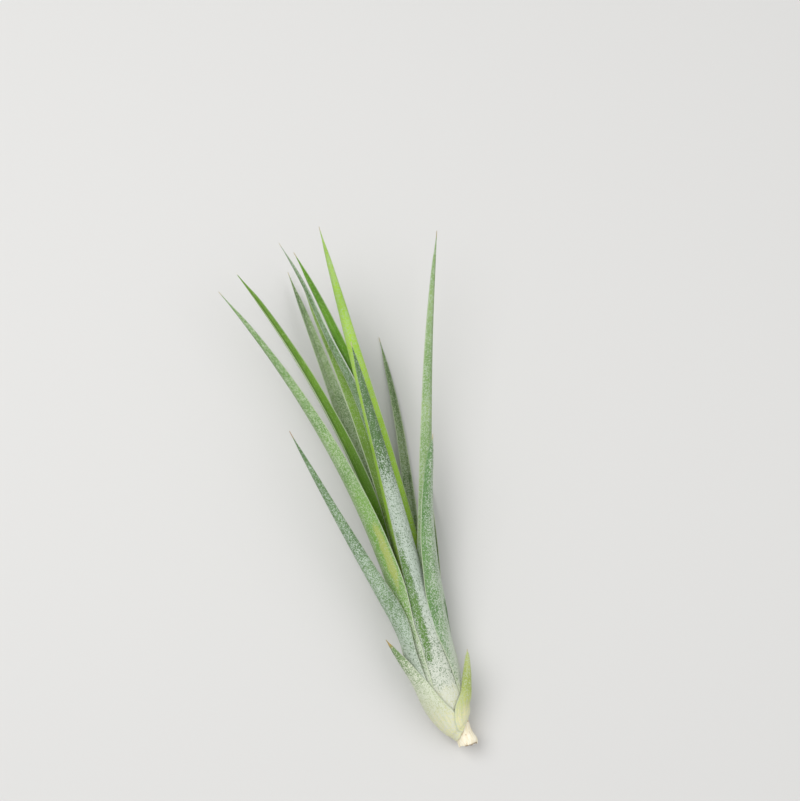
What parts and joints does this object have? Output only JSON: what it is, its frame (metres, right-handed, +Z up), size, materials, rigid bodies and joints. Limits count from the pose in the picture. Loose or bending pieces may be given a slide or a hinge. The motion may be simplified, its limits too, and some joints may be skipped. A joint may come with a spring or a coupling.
{
  "type": "air plant",
  "caption": "Stiff-leaved air plant as picked, lying on its back: a short stem and a spiral of narrow channelled leaves that clasp each other into a slim bulb.",
  "frame": {"origin": "middle of the footprint, on the surface that the plant lies on", "axes": "+Y runs from the cut stem end to the leaf tips, +Z up from the surface, towards the front of the plant"},
  "size_m": [0.1126, 0.261, 0.0503],
  "materials": {
    "stem": "dry, cream-coloured cut stem",
    "silver_leaf": "grey-green leaf under a fine silver bloom",
    "green_leaf": "smooth yellow-green leaf"
  },
  "bodies": {
    "root": {"stem": "stem", "leaf_01_base_left": "silver_leaf", "leaf_02_base_right": "green_leaf", "leaf_03_base_back": "silver_leaf", "leaf_04_left_front": "silver_leaf", "leaf_05_back_right": "silver_leaf", "leaf_06_back_left": "silver_leaf", "leaf_07_right_front": "silver_leaf", "leaf_08_back": "silver_leaf", "leaf_09_far_left": "silver_leaf", "leaf_10_far_right": "silver_leaf", "leaf_11_back_left": "silver_leaf", "leaf_12_front": "silver_leaf", "leaf_13_upper_back": "green_leaf", "leaf_14_upper_left": "green_leaf", "leaf_15_upper_front": "silver_leaf", "leaf_16_inner_back": "green_leaf", "leaf_17_inner_front": "green_leaf"}
  },
  "joints": []
}
